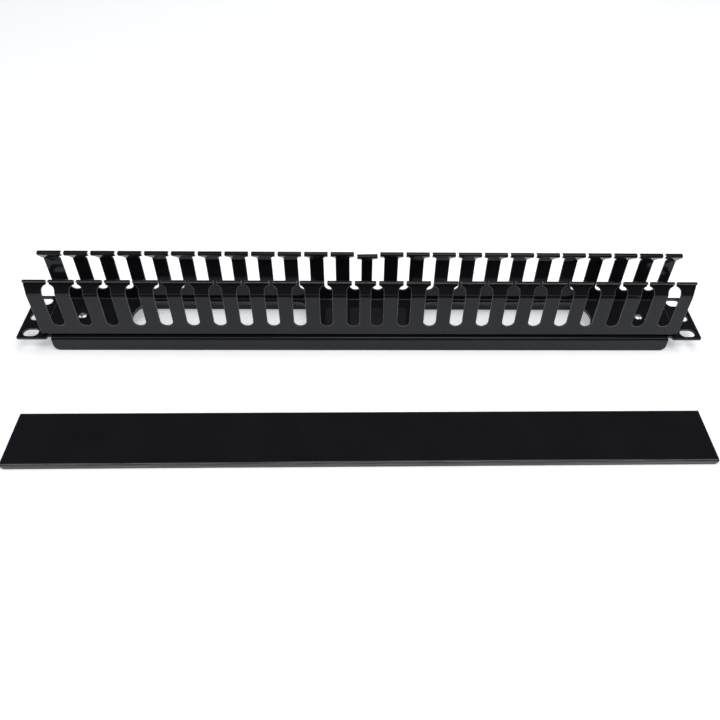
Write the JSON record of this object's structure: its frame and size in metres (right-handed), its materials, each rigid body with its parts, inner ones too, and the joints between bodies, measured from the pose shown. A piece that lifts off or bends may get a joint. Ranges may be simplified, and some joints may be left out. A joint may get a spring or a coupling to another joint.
{
  "type": "horizontal cable manager",
  "caption": "Rack-mount cable manager: folded panel with slotted ears and long windows, a riveted duct of slotted combs with T-shaped heads, and a lift-off cover.",
  "frame": {"origin": "centre of the outer slots of both ears, on the rear face of the ears, where they meet the rack rails", "axes": "+X to the right along the rack's width, +Y up the rack when it is mounted, +Z out of the rack's front"},
  "size_m": [0.4826, 0.1424, 0.0595],
  "materials": {
    "black_paint": "glossy black powder coat",
    "rivet_metal": "bare satin"
  },
  "bodies": {
    "manager": {"rack_panel": "black_paint", "finger_duct": "black_paint", "rivets": "rivet_metal"},
    "lid": {"cover": "black_paint"}
  },
  "joints": [
    {"name": "lid_lift", "type": "slide", "parent": "manager", "child": "lid", "axis": [-0.0022, 0.6719, 0.7406], "range_m": [0, 0.14853]}
  ]
}
